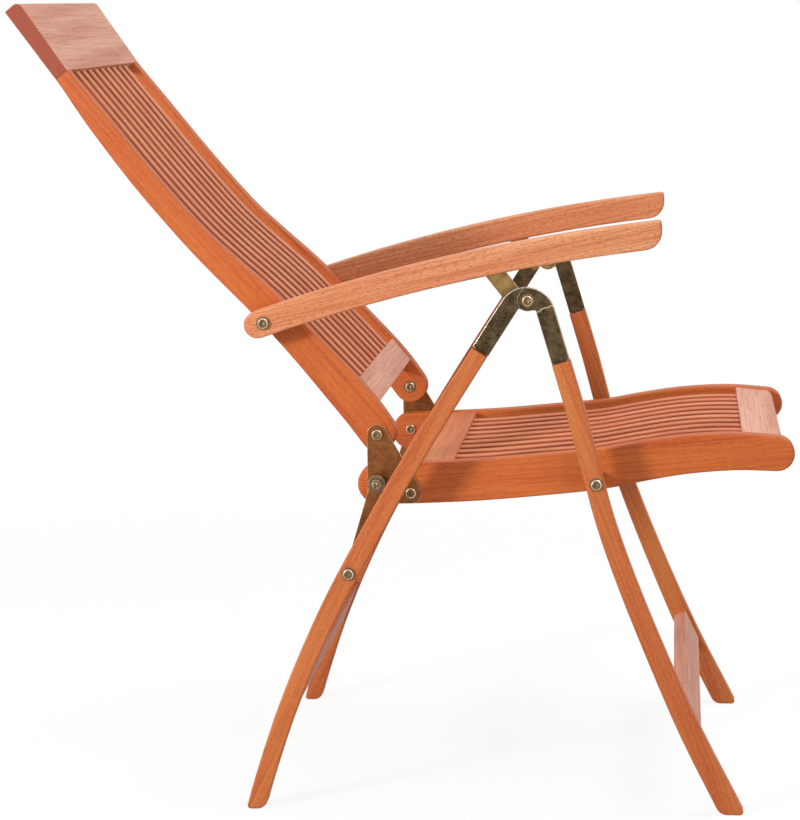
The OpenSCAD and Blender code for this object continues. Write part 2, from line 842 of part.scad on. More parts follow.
front_leg_right();
front_leg_left();
front_cross_board();
front_strap_right();
front_strap_left();
leg_pivot_bolts();
leg_pivot_bushes();
seat_pivot_bolts();
seat_pivot_spacers();
rear_leg_right();
rear_leg_left();
rear_cross_board();
rear_strap_right();
rear_strap_left();
link_bolts();
link_spacers();
link_right();
link_left();
link_nuts();
seat_rail_right();
seat_rail_left();
seat_front_board();
seat_rear_board();
seat_slat(1);  // seat_slat_1
seat_slat(2);  // seat_slat_2
seat_slat(3);  // seat_slat_3
seat_slat(4);  // seat_slat_4
seat_slat(5);  // seat_slat_5
seat_slat(6);  // seat_slat_6
seat_slat(7);  // seat_slat_7
seat_slat(8);  // seat_slat_8
seat_slat(9);  // seat_slat_9
hinge_plate_right();
hinge_plate_left();
plate_bolts();
rear_seat_bolts();
rear_seat_nuts();
back_hinge_bolts();
back_stile_right();
back_stile_left();
head_board();
back_lower_rail();
back_slat(1);  // back_slat_1
back_slat(2);  // back_slat_2
back_slat(3);  // back_slat_3
back_slat(4);  // back_slat_4
back_slat(5);  // back_slat_5
back_slat(6);  // back_slat_6
back_slat(7);  // back_slat_7
back_slat(8);  // back_slat_8
back_slat(9);  // back_slat_9
arm_right();
arm_left();
arm_racks();
arm_bolts();
arm_washers();
catch_right();
catch_left();
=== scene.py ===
import json
import math
import bmesh
import bpy
import numpy as np
from mathutils import Matrix, Vector


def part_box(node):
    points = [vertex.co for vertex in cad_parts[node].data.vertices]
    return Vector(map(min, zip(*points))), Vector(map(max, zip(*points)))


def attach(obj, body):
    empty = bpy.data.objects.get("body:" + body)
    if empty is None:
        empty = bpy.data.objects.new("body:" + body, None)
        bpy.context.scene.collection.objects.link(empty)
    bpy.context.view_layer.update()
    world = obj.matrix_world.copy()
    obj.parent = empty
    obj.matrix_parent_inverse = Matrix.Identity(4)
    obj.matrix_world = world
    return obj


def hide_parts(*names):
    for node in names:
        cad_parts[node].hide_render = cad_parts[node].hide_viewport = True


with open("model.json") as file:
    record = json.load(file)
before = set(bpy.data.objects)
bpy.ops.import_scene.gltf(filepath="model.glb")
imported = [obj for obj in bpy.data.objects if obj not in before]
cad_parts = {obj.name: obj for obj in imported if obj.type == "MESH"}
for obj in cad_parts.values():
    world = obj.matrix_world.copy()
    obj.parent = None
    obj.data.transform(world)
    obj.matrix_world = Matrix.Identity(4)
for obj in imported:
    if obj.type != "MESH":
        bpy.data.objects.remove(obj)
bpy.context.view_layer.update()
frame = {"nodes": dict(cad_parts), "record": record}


# Camera. The photograph looks at the right side of the chair from a little behind its front,
# through a long lens. The numbers are those that its near and far pieces were fitted with.
yaw, pitch, roll = (math.radians(a) for a in (-5.633, 8.151, -0.777))
ahead = Vector((math.cos(yaw) * math.cos(pitch), -math.sin(yaw) * math.cos(pitch), -math.sin(pitch)))
level = Vector((-math.sin(yaw), -math.cos(yaw), 0))
upward = level.cross(ahead)
to_right = math.cos(roll) * level + math.sin(roll) * upward
to_top = -math.sin(roll) * level + math.cos(roll) * upward
camera_data = bpy.data.cameras.new("camera")
camera_data.sensor_width = 36
focal_pixels, picture_pixels = 2850, 820
camera_data.lens = focal_pixels * camera_data.sensor_width / picture_pixels
camera = bpy.data.objects.new("camera", camera_data)
camera.matrix_world = (Matrix.Translation((-3.5751, -0.3289, 0.959))
                       @ Matrix((to_right, to_top, -ahead)).transposed().to_4x4())
bpy.context.scene.collection.objects.link(camera)
bpy.context.scene.camera = camera
bpy.context.scene.view_settings.view_transform = "Standard"


# Floor and light. The chair stands on a plain white floor in a white studio, brightest overhead. A
# lamp well to the left throws the legs' shadows forward on the seat rails, a large one hangs over
# the front, and a weak one lights the far pieces.
def srgb(red, green, blue):
    """A colour as it is seen, 0 to 255, turned into the light values that shaders take."""
    parts = [c / 255 for c in (red, green, blue)]
    return [c / 12.92 if c <= 0.04045 else ((c + 0.055) / 1.055) ** 2.4 for c in parts] + [1]


def put(tree, kind, inputs=(), **settings):
    """Adds a node, sets what it is set to, and joins or fills its inputs."""
    node = tree.nodes.new(kind)
    for name, value in settings.items():
        setattr(node, name, value)
    for name, value in dict(inputs).items():
        if isinstance(value, bpy.types.NodeSocket):
            tree.links.new(value, node.inputs[name])
        else:
            node.inputs[name].default_value = value
    return node


def maths(tree, how, first, second):
    """One step of arithmetic on two values or sockets; gives the result's socket."""
    return put(tree, "ShaderNodeMath", {0: first, 1: second}, operation=how).outputs[0]


def smooth_range(tree, value, low, high, floor=0.0, ceiling=1.0):
    """Maps low to high onto floor to ceiling, with soft ends."""
    return put(tree, "ShaderNodeMapRange", {"Value": value, "From Min": low, "From Max": high,
                                            "To Min": floor, "To Max": ceiling},
               interpolation_type="SMOOTHSTEP").outputs[0]


white = (1, 1, 1, 1)
world = bpy.data.worlds.new("studio")
world.use_nodes = True
tree = world.node_tree
tree.nodes.clear()
ray = put(tree, "ShaderNodeLightPath")
seen = maths(tree, "MAXIMUM", ray.outputs["Is Camera Ray"], ray.outputs["Is Glossy Ray"])
seen = maths(tree, "MAXIMUM", seen, ray.outputs["Is Transmission Ray"])
rise = put(tree, "ShaderNodeSeparateXYZ", {0: put(tree, "ShaderNodeTexCoord").outputs["Generated"]})
rise = smooth_range(tree, rise.outputs["Z"], -0.1, 0.8, 0.08, 0.75)
room = put(tree, "ShaderNodeBackground", {"Color": white, "Strength": rise})
backdrop = put(tree, "ShaderNodeBackground", {"Color": white, "Strength": 1.0})
mix = put(tree, "ShaderNodeMixShader", {0: seen, 1: room.outputs[0], 2: backdrop.outputs[0]})
put(tree, "ShaderNodeOutputWorld", {"Surface": mix.outputs[0]})
bpy.context.scene.world = world

lamps_aim = Vector((0, 0, 0.45))
for name, at, size, power in (("side_lamp", (-2.3, 1.95, 1.25), 0.5, 59),
                              ("top_lamp", (0.3, -1.7, 3.1), 1.6, 36),
                              ("fill_lamp", (-2.6, -1.5, 1.2), 1.5, 14)):
    lamp_data = bpy.data.lights.new(name, "AREA")
    lamp_data.energy = power
    lamp_data.size = size
    lamp = bpy.data.objects.new(name, lamp_data)
    toward = lamps_aim - Vector(at)
    lamp.matrix_world = Matrix.Translation(at) @ toward.to_track_quat("-Z", "Y").to_matrix().to_4x4()
    bpy.context.scene.collection.objects.link(lamp)

floor_finish = bpy.data.materials.new("studio_floor")
floor_finish.use_nodes = True
tree = floor_finish.node_tree
tree.nodes.clear()
ray = put(tree, "ShaderNodeLightPath")
pale = put(tree, "ShaderNodeMapRange", {"Value": ray.outputs["Is Camera Ray"], "To Min": 0.45,
                                        "To Max": 1.0})
matt = put(tree, "ShaderNodeBsdfDiffuse", {"Color": pale.outputs[0]})
glow = put(tree, "ShaderNodeEmission", {"Color": white, "Strength": 1.0})
away = put(tree, "ShaderNodeVectorMath", {0: put(tree, "ShaderNodeTexCoord").outputs["Object"]},
           operation="LENGTH")
away = smooth_range(tree, away.outputs["Value"], 0.8, 2.4, 0.85, 1.0)
share = maths(tree, "MULTIPLY", ray.outputs["Is Camera Ray"], away)
share = maths(tree, "MAXIMUM", share, ray.outputs["Is Glossy Ray"])
share = maths(tree, "MAXIMUM", share, ray.outputs["Is Transmission Ray"])
mix = put(tree, "ShaderNodeMixShader", {0: share, 1: matt.outputs[0], 2: glow.outputs[0]})
put(tree, "ShaderNodeOutputMaterial", {"Surface": mix.outputs[0]})
floor_mesh = bpy.data.meshes.new("floor")
floor_mesh.from_pydata([(-30, -30, 0), (30, -30, 0), (30, 30, 0), (-30, 30, 0)], [], [(0, 1, 2, 3)])
floor_mesh.materials.append(floor_finish)
floor = bpy.data.objects.new("floor", floor_mesh)
bpy.context.scene.collection.objects.link(floor)


# Front legs. Two slender bars of oiled hardwood, sawn to a bow from straight boards, so the grain
# runs straight through the bow. All edges are eased, and the foot is sawn level.
def oiled_wood(name, deep, pale, pore, fleck, fleck_share):
    """Oiled hardwood: slow bands and fine lines along the board, short flecks, and dark open pores."""
    finish = bpy.data.materials.new(name)
    finish.use_nodes = True
    tree = finish.node_tree
    tree.nodes.clear()
    place = put(tree, "ShaderNodeAttribute", attribute_name="grain").outputs["Vector"]

    def streaks(scale, detail, rough=0.5):
        stretched = put(tree, "ShaderNodeMapping", {"Vector": place, "Scale": scale})
        return put(tree, "ShaderNodeTexNoise", {"Vector": stretched.outputs[0], "Scale": 1.0,
                                                "Detail": detail, "Roughness": rough}).outputs[0]

    def blend(share, under, over, how="MIX"):
        return put(tree, "ShaderNodeMix", {0: share, 6: under, 7: over}, data_type="RGBA",
                   blend_type=how).outputs[2]

    # the second tint darkens the slats' sides as painted shade, standing for the shadow between slats
    line_shade, painted_shade_tint = (0.82, 0.69, 0.57, 1), (0.45, 0.27, 0.2, 1)
    pore_share, end_share, gloss = 0.6, 0.9, 0.52
    bands = streaks((2.2, 34, 34), 3)
    lines = streaks((7, 430, 430), 4, 0.6)
    flecks = streaks((170, 800, 800), 3, 0.65)
    pores = streaks((150, 2600, 2600), 2)
    wood = blend(smooth_range(tree, bands, 0.3, 0.7), deep, pale)
    wood = blend(smooth_range(tree, lines, 0.44, 0.64), wood, blend(1.0, wood, line_shade, "MULTIPLY"))
    wood = blend(maths(tree, "MULTIPLY", smooth_range(tree, flecks, 0.5, 0.68), fleck_share), wood, fleck)
    wood = blend(maths(tree, "MULTIPLY", smooth_range(tree, pores, 0.6, 0.7), pore_share), wood, pore)
    # painted shade: faces marked as slat sides are multiplied darker, as if in the shade between the slats
    painted_flank_shade = put(tree, "ShaderNodeAttribute", attribute_name="painted_flank_shade").outputs["Fac"]
    wood = blend(painted_flank_shade, wood, blend(1.0, wood, painted_shade_tint, "MULTIPLY"))
    cut = put(tree, "ShaderNodeAttribute", attribute_name="end_grain").outputs["Fac"]
    wood = blend(maths(tree, "MULTIPLY", cut, end_share), wood, pore)
    dull = put(tree, "ShaderNodeMapRange", {"Value": lines, "To Min": gloss - 0.04, "To Max": gloss + 0.1})
    relief = put(tree, "ShaderNodeBump", {"Height": maths(tree, "ADD", pores, lines), "Strength": 0.25,
                                          "Distance": 0.0004})
    surface = put(tree, "ShaderNodeBsdfPrincipled", {"Base Color": wood, "Roughness": dull.outputs[0],
                                                     "IOR": 1.42, "Normal": relief.outputs[0]})
    put(tree, "ShaderNodeOutputMaterial", {"Surface": surface.outputs[0]})
    return finish


def finished(name, mesh, finish, body, slot, *nodes):
    """Puts a plain mesh into the chair as the piece that stands for the solids named."""
    mesh.materials.clear()
    mesh.materials.append(finish)
    piece = bpy.data.objects.new(name, mesh)
    bpy.context.scene.collection.objects.link(piece)
    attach(piece, body)
    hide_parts(*nodes)


def plain_mesh(name, start, *modifiers):
    """Runs modifiers on a mesh and returns the result as a mesh of its own."""
    rough = bpy.data.objects.new("rough", start)
    bpy.context.scene.collection.objects.link(rough)
    for kind, settings in modifiers:
        step = rough.modifiers.new(kind.lower(), kind)
        for key, value in settings.items():
            if kind == "NODES" and key != "node_group":
                step[step.node_group[key]] = value
            else:
                setattr(step, key, value)
    view = bpy.context.evaluated_depsgraph_get()
    made = bpy.data.meshes.new_from_object(rough.evaluated_get(view), preserve_all_data_layers=True,
                                           depsgraph=view)
    rough.modifiers.clear()
    bpy.data.objects.remove(rough)
    made.name = name
    return made


pivot = {joint["name"]: Vector(joint["pos_m"]) for joint in frame["record"]["behaviour"]["joints"]}
link_bolt, plate_bolt = ((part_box(node)[0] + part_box(node)[1]) / 2 for node in ("link_spacers", "plate_bolts"))
bolt_lines = [*pivot.values(), link_bolt, plate_bolt]
hole_r = 0.0042


def round_bolt(face):
    """Whether a face is part of the wall of a bolt hole."""
    centre = face.calc_center_median()
    return abs(face.normal.x) < 0.5 and any(
        math.hypot(centre.y - line.y, centre.z - line.z) < hole_r for line in bolt_lines)


def eased(node, width):
    """A welded copy of a solid with its edges eased; width gives each edge's rounding in metres.

    The bolt holes, which the bolts cover, are closed first, so that the faces round them stay whole."""
    shortest, least_angle = 0.0008, 0.6
    work = bmesh.new()
    work.from_mesh(frame["nodes"][node].data)
    bmesh.ops.remove_doubles(work, verts=work.verts, dist=2e-6)
    walls = [face for face in work.faces if round_bolt(face)]
    if walls:
        bmesh.ops.delete(work, geom=walls, context="FACES")
        bmesh.ops.holes_fill(work, edges=[edge for edge in work.edges if edge.is_boundary])
        bmesh.ops.recalc_face_normals(work, faces=work.faces)
    bmesh.ops.dissolve_limit(work, angle_limit=math.radians(0.1), verts=work.verts, edges=work.edges)
    weight = work.edges.layers.float.new("bevel_weight_edge")
    sharp = [e for e in work.edges if len(e.link_faces) == 2 and e.calc_length() > shortest
             and e.calc_face_angle() > least_angle]
    widths = {e: width(e) for e in sharp}
    most = max(widths.values())
    for edge, wide in widths.items():
        edge[weight] = wide / most
    start = bpy.data.meshes.new(node)
    work.to_mesh(start)
    work.free()
    made = plain_mesh(node, start, ("BEVEL", {
        "width": most, "segments": 4, "limit_method": "WEIGHT", "use_clamp_overlap": False}))
    made.shade_smooth()
    made.set_sharp_from_angle(angle=math.radians(32))
    return plain_mesh(node, made, ("WEIGHTED_NORMAL", {"keep_sharp": True}))


def across_face(edge):
    """Whether an edge borders a side face of a bar that stands along the chair."""
    return any(abs(face.normal.x) > 0.99 for face in edge.link_faces)


board_step = np.array([1.7, 0.61, 0.37])   # how far apart two boards lie in the pattern


def with_grain(mesh, number):
    """Notes each point's place along, across and through its board, and which faces are end grain."""
    count = len(mesh.vertices)
    points = np.empty(count * 3)
    mesh.vertices.foreach_get("co", points)
    points = points.reshape(-1, 3)
    middle = (points.min(axis=0) + points.max(axis=0)) / 2
    axes = np.linalg.eigh(np.cov((points - middle).T))[1][:, ::-1]
    axes = axes * np.sign(axes[np.abs(axes).argmax(axis=0), range(3)])
    grain = (points - middle) @ axes + board_step * number
    mesh.attributes.new("grain", "FLOAT_VECTOR", "POINT").data.foreach_set("vector", grain.ravel())
    normals = np.empty(len(mesh.polygons) * 3)
    mesh.polygons.foreach_get("normal", normals)
    ends = np.clip(np.abs(normals.reshape(-1, 3) @ axes[:, 0]) * 4 - 2.6, 0, 1)
    mesh.attributes.new("end_grain", "FLOAT", "FACE").data.foreach_set("value", ends)
    return mesh


def wooden(node, width, number, finish, body, slot):
    """A wooden piece in the place of its solid, with eased edges and grain of its own."""
    finished("wood_" + node, with_grain(eased(node, width), number), finish, body, slot, node)


leg_wood = oiled_wood("leg_wood", srgb(191, 95, 43), srgb(205, 119, 59), srgb(130, 50, 22),
                      srgb(228, 146, 90), 0.3)
leg_inner, leg_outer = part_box("front_leg_right")[1].x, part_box("front_leg_right")[0].x


def leg_edge(edge):
    """The edges of the slot for the strap stay sharp; the others are eased."""
    inside = any(leg_outer + 0.001 < -abs(v.co.x) < leg_inner - 0.001 for v in edge.verts)
    return 0 if inside else 0.0025 if across_face(edge) else 0.0008


for number, side in enumerate(("right", "left")):
    wooden("front_leg_" + side, leg_edge, 1 + number, leg_wood, "front_frame", "frame_wood")


# Front cross board. A flat board of a paler, pinker cut of the same wood stands between the front
# legs, above the feet, and leans with them. Its long edges are eased.
long_edge = 0.1


def board_edge(edge):
    """Only edges that run along the board are eased, so its ends stay tight."""
    return 0.002 if edge.calc_length() > long_edge else 0


board_wood = oiled_wood("board_wood", srgb(202, 132, 104), srgb(226, 166, 140), srgb(140, 46, 4),
                        srgb(238, 196, 172), 0.45)
wooden("front_cross_board", board_edge, 3, board_wood, "front_frame", "board_wood")


# Rear legs. The same sawn and oiled hardwood bars as in front, bowed the other way. Their straps
# cross those of the front legs, and their feet are sawn level too.
for number, side in enumerate(("right", "left")):
    wooden("rear_leg_" + side, leg_edge, 4 + number, leg_wood, "rear_leg_frame", "frame_wood")


# Rear cross board. It joins the rear legs below the seat, and is of the redder cut of the wood that
# the rails and the back are made of.
frame_wood = oiled_wood("frame_wood", srgb(190, 86, 28), srgb(206, 108, 42), srgb(126, 42, 13),
                        srgb(226, 136, 74), 0.3)
wooden("rear_cross_board", board_edge, 6, frame_wood, "rear_leg_frame", "frame_wood")


# Leg straps. Flat steel with a thin yellow plating that has gone a mottled, dark olive brown. They
# are stamped, with broadly ground outer edges whose bright bare steel carries a painted highlight, and run into
# slots in the tops of the legs.
def plated_steel(name, dark, light, bare_edge_and_highlight, rough):
    """Steel under a thin yellow plating: cloudy patches, fine specks, and bright bare edges with a painted
    highlight.
    """
    finish = bpy.data.materials.new(name)
    finish.use_nodes = True
    tree = finish.node_tree
    tree.nodes.clear()
    place = put(tree, "ShaderNodeTexCoord").outputs["Object"]
    clouds, specks = (put(tree, "ShaderNodeTexNoise", {"Vector": place, "Scale": scale, "Detail": detail,
                                                       "Roughness": 0.7}).outputs[0]
                      for scale, detail in ((90.0, 5.0), (900.0, 3.0)))
    amount = smooth_range(tree, maths(tree, "ADD", clouds, specks), 0.75, 1.25)
    plate = put(tree, "ShaderNodeMix", {0: amount, 6: dark, 7: light}, data_type="RGBA")
    # marked edge faces take the last colour, partly bare steel and partly a painted highlight
    bright = put(tree, "ShaderNodeAttribute", attribute_name="bare_edge_and_highlight").outputs["Fac"]
    colour = put(tree, "ShaderNodeMix", {0: bright, 6: plate.outputs[2], 7: bare_edge_and_highlight}, data_type="RGBA")
    dull = put(tree, "ShaderNodeMapRange", {"Value": amount, "To Min": rough + 0.1, "To Max": rough - 0.05})
    relief = put(tree, "ShaderNodeBump", {"Height": specks, "Strength": 0.08, "Distance": 0.0003})
    surface = put(tree, "ShaderNodeBsdfPrincipled", {
        "Base Color": colour.outputs[2], "Metallic": 1.0, "Roughness": dull.outputs[0],
        "Normal": relief.outputs[0]})
    put(tree, "ShaderNodeOutputMaterial", {"Surface": surface.outputs[0]})
    return finish


def with_bare_edges_and_highlights(mesh):
    """Marks the faces that don't lie flat against the chair's side: their cut edges get a bright colour that is
    partly bare steel and partly painted highlight.
    """
    normals = np.empty(len(mesh.polygons) * 3)
    mesh.polygons.foreach_get("normal", normals)
    bare_edges_and_highlights = np.clip((0.97 - np.abs(normals[::3])) * 6, 0, 1)
    mesh.attributes.new("bare_edge_and_highlight", "FLOAT", "FACE").data.foreach_set("value", bare_edges_and_highlights)
    return mesh


def flat_steel(node, width, finish, body):
    """A stamped steel piece in the place of its solid, with its edges rounded and marked as rims."""
    finished("steel_" + node, with_bare_edges_and_highlights(eased(node, width)), finish, body, "plate_steel", node)


stamped, ground = 0.0005, 0.0019


def ground_edge(node, way):
    """Rounding of a strap's edges: broad on its outer face, along the upper edge that faces way."""
    outer_face = max(abs(corner.x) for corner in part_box(node))

    def width(edge):
        middle = (edge.verts[0].co + edge.verts[1].co) / 2
        if not across_face(edge):
            return 0
        outside = abs(middle.x) > outer_face - 0.0001
        upper = any(way * face.normal.y + face.normal.z > 0.9 for face in edge.link_faces)
        return ground if outside and upper else stamped
    return width


# the last colour is the bright bare edge with its painted highlight
strap_steel = plated_steel("strap_steel", srgb(46, 37, 25), srgb(108, 90, 64), srgb(212, 200, 184), 0.4)
for side in ("right", "left"):
    for node, body, way in (("front_strap_", "front_frame", -1), ("rear_strap_", "rear_leg_frame", 1)):
        flat_steel(node + side, ground_edge(node + side, way), strap_steel, body)


# Bolts through the legs. Domed steel heads with a bright edge, partly painted highlight, and a hexagon
# socket, each on a washer with less painted highlight, with a shank through the joint and a nut inside. Each is
# turned and set on both sides.
def turned(*outlines):
    """Spins outlines of (radius, distance outwards) round a bolt's line that points to the right."""
    work = bmesh.new()
    for outline, steps in outlines:
        rings = []
        for radius, out in outline:
            if radius == 0:
                rings.append([work.verts.new((-out, 0, 0))] * steps)
            else:
                angles = [a * 2 * math.pi / steps for a in range(steps)]
                rings.append([work.verts.new((-out, radius * math.cos(a), radius * math.sin(a)))
                              for a in angles])
        for below, above in zip(rings, rings[1:]):
            for a in range(steps):
                b = (a + 1) % steps
                corners = list(dict.fromkeys((below[a], below[b], above[b], above[a])))
                if len(corners) > 2:
                    work.faces.new(corners)
    bmesh.ops.recalc_face_normals(work, faces=work.faces)
    mesh = bpy.data.meshes.new("turned")
    work.to_mesh(mesh)
    work.free()
    return mesh


def ring_outline(inner, outer, start, stop, ease=0.0003):
    """A ring with eased outer edges."""
    return [(inner, start), (outer - ease, start), (outer, start + ease), (outer, stop - ease),
            (outer - ease, stop), (inner, stop), (inner, start)]


def new_tree(name, inputs):
    """An empty node tree with a geometry input, a geometry output and the named inputs."""
    tree = bpy.data.node_groups.new(name, "GeometryNodeTree")
    face = tree.interface
    face.new_socket("Geometry", in_out="INPUT", socket_type="NodeSocketGeometry")
    for label, kind in inputs.items():
        tree[label] = face.new_socket(label, in_out="INPUT", socket_type="NodeSocket" + kind).identifier
    face.new_socket("Geometry", in_out="OUTPUT", socket_type="NodeSocketGeometry")
    return tree, put(tree, "NodeGroupInput"), put(tree, "NodeGroupOutput")


def end_tree(tree, given, result, shape):
    """Ends a tree in real geometry with its finish on it."""
    real = put(tree, "GeometryNodeRealizeInstances", {"Geometry": shape.outputs[0]})
    named = put(tree, "GeometryNodeSetMaterial", {"Geometry": real.outputs[0],
                                                  "Material": given.outputs["Finish"]})
    tree.links.new(named.outputs[0], result.inputs[0])


pair_tree, given, result = new_tree("fittings_on_both_sides", {
    "Half Width": "Float", "Along": "Float", "Height": "Float", "Socketed": "Bool",
    "Socket Radius": "Float", "Socket Floor": "Float", "Socket Top": "Float", "Finish": "Material"})
key_turn = 0.3
deep = maths(pair_tree, "SUBTRACT", given.outputs["Socket Top"], given.outputs["Socket Floor"])
middle = maths(pair_tree, "ADD", given.outputs["Socket Top"], given.outputs["Socket Floor"])
middle = put(pair_tree, "ShaderNodeCombineXYZ", {"X": maths(pair_tree, "MULTIPLY", middle, -0.5)})
key = put(pair_tree, "GeometryNodeMeshCylinder", {"Vertices": 6, "Radius": given.outputs["Socket Radius"],
                                                  "Depth": deep})
key = put(pair_tree, "GeometryNodeTransform", {"Geometry": key.outputs[0], "Translation": middle.outputs[0],
                                               "Rotation": (key_turn, math.pi / 2, 0)})
cut = put(pair_tree, "GeometryNodeMeshBoolean", {"Mesh 1": given.outputs[0]}, operation="DIFFERENCE",
          solver="EXACT")
pair_tree.links.new(key.outputs[0], cut.inputs["Mesh 2"])
shape = put(pair_tree, "GeometryNodeSwitch", {"Switch": given.outputs["Socketed"], "False": given.outputs[0],
                                              "True": cut.outputs[0]}, input_type="GEOMETRY")
minus = maths(pair_tree, "MULTIPLY", given.outputs["Half Width"], -1.0)
first, second = (put(pair_tree, "ShaderNodeCombineXYZ", {"X": out, "Y": given.outputs["Along"],
                                                         "Z": given.outputs["Height"]})
                 for out in (minus, given.outputs["Half Width"]))
ends = put(pair_tree, "GeometryNodeMeshLine", {"Count": 2, "Start Location": first.outputs[0],
                                               "Offset": second.outputs[0]}, mode="END_POINTS")
turn = maths(pair_tree, "MULTIPLY", put(pair_tree, "GeometryNodeInputIndex").outputs[0], math.pi)
turn = put(pair_tree, "ShaderNodeCombineXYZ", {"Z": turn})
turn = put(pair_tree, "FunctionNodeEulerToRotation", {0: turn.outputs[0]})
placed = put(pair_tree, "GeometryNodeInstanceOnPoints", {
    "Points": ends.outputs[0], "Instance": shape.outputs[0], "Rotation": turn.outputs[0]})
end_tree(pair_tree, given, result, placed)


def fittings(node, body, at, *shapes):
    """One piece of turned fittings on both sides of the chair.

    Each shape is its outlines, how far out they start from the middle, and its socket or None."""
    washer_highlight_share, unused_socket = 0.2, (0.003, 0, 0.001)
    joined = bmesh.new()
    for outlines, half_width, socket in shapes:
        radius, bottom, top = socket or unused_socket
        joined.from_mesh(plain_mesh(node, turned(*outlines), ("NODES", {
            "node_group": pair_tree, "Half Width": half_width, "Along": at.y, "Height": at.z,
            "Socketed": socket is not None, "Socket Radius": radius, "Socket Floor": bottom,
            "Socket Top": top, "Finish": bolt_steel})))
    mesh = bpy.data.meshes.new(node)
    joined.to_mesh(mesh)
    joined.free()
    mesh.shade_smooth()
    mesh.set_sharp_from_angle(angle=math.radians(35))
    with_bare_edges_and_highlights(mesh)
    # faces beyond the head's radius, on the washers, keep only a fifth of the painted highlight
    for face, bare_edge_and_highlight in zip(mesh.polygons, mesh.attributes["bare_edge_and_highlight"].data):
        if math.hypot(face.center.y - at.y, face.center.z - at.z) > head_r:
            bare_edge_and_highlight.value *= washer_highlight_share
    finished("steel_" + node, mesh, bolt_steel, body, "bolt_steel", node)


# the last colour is the bright bare edge with its painted highlight
bolt_steel = plated_steel("bolt_steel", srgb(92, 74, 54), srgb(130, 108, 82), srgb(222, 204, 172), 0.32)
bolt_r, head_r, head_h, washer_r, washer_t, nut_h = 0.0035, 0.0065, 0.0042, 0.008, 0.0014, 0.0055
bore_r, hair, round_steps, nut_sides = bolt_r + 0.0001, 0.00002, 48, 6


def bolt_head(start=0.0):
    """A domed socket head that stands on the distance start."""
    return ([(0, start), (head_r - 0.0003, start), (head_r, start + 0.0003), (head_r, start + head_h * 0.42),
             (head_r * 0.97, start + head_h * 0.62), (head_r * 0.9, start + head_h * 0.82),
             (head_r * 0.78, start + head_h * 0.97), (head_r * 0.7, start + head_h),
             (0, start + head_h)], round_steps)


def washer():
    """The washer under a bolt's head, a hair thinner than the room for it."""
    return ring_outline(bore_r, washer_r, 0, washer_t - hair), round_steps


def shank(start, stop):
    """The round bar of a bolt, chamfered at its inner end."""
    return [(0, start), (bolt_r - 0.0003, start), (bolt_r, start + 0.0003), (bolt_r, stop), (0, stop)], 32


def nut(start, radius=head_r):
    """A hexagon nut with its corners turned off."""
    ease = 0.0006
    return [(bore_r, start), (radius - ease, start), (radius, start + ease), (radius, start + nut_h - ease),
            (radius - ease, start + nut_h), (bore_r, start + nut_h), (bore_r, start)], nut_sides


def sleeve(start, stop, radius=0.007):
    """A tube round the shank, between two of the joined pieces."""
    return ring_outline(bore_r, radius, start, stop), 40


def socket(start=0.0):
    """Radius, floor and top of the hexagon key's socket in a head that stands on the distance start."""
    return head_r * 0.46, start + head_h * 0.35, start + head_h + 0.002


def through_bolt(nut_at):
    """A bolt with a washer under its head, and its nut on the inner end."""
    return washer(), bolt_head(washer_t), shank(nut_at - 0.001, washer_t - 0.0001), nut(nut_at)


# where the outlines start, from the middle of the chair
strap_side, bush_end, leg_side, rail_side = 0.2763, 0.2462, 0.2825, 0.2253
crossing, seat_bolt = pivot["fold"], pivot["seat_fold"]
fittings("leg_pivot_bolts", "front_frame", crossing, (through_bolt(-0.0392), strap_side, socket(washer_t)))
fittings("leg_pivot_bushes", "front_frame", crossing, ((sleeve(0, 0.0235),), bush_end, None))
fittings("seat_pivot_bolts", "front_frame", seat_bolt, (through_bolt(-0.0893), leg_side, socket(washer_t)))
fittings("seat_pivot_spacers", "front_frame", seat_bolt, ((sleeve(0, 0.0352),), rail_side, None))


# Weld on the front straps. The eye and the strap are welded together beside the bolt, and the
# wavy bead stands a little proud of the plate and has the bright edge colour, partly a painted highlight, all
# over.
bead_tree, given, result = new_tree("bead", {"Radius": "Float", "Waviness": "Float", "Finish": "Material"})
line = put(bead_tree, "GeometryNodeMeshToCurve", {0: given.outputs[0]})
line = put(bead_tree, "GeometryNodeResampleCurve", {"Curve": line.outputs[0], "Count": 60})
noise = put(bead_tree, "ShaderNodeTexNoise", {
    "Vector": put(bead_tree, "GeometryNodeInputPosition").outputs[0], "Scale": 380.0, "Detail": 1.0})
shift = put(bead_tree, "ShaderNodeVectorMath", {0: noise.outputs[1], 1: (0.5, 0.5, 0.5)},
            operation="SUBTRACT")
shift = put(bead_tree, "ShaderNodeVectorMath", {0: shift.outputs[0], 1: (0, 1, 1)}, operation="MULTIPLY")
shift = put(bead_tree, "ShaderNodeVectorMath", {0: shift.outputs[0], "Scale": given.outputs["Waviness"]},
            operation="SCALE")
line = put(bead_tree, "GeometryNodeSetPosition", {"Geometry": line.outputs[0], "Offset": shift.outputs[0]})
loop = put(bead_tree, "GeometryNodeCurvePrimitiveCircle", {"Resolution": 8,
                                                           "Radius": given.outputs["Radius"]})
tube = put(bead_tree, "GeometryNodeCurveToMesh", {"Curve": line.outputs[0], "Profile Curve": loop.outputs[0],
                                                  "Fill Caps": True})
end_tree(bead_tree, given, result, tube)
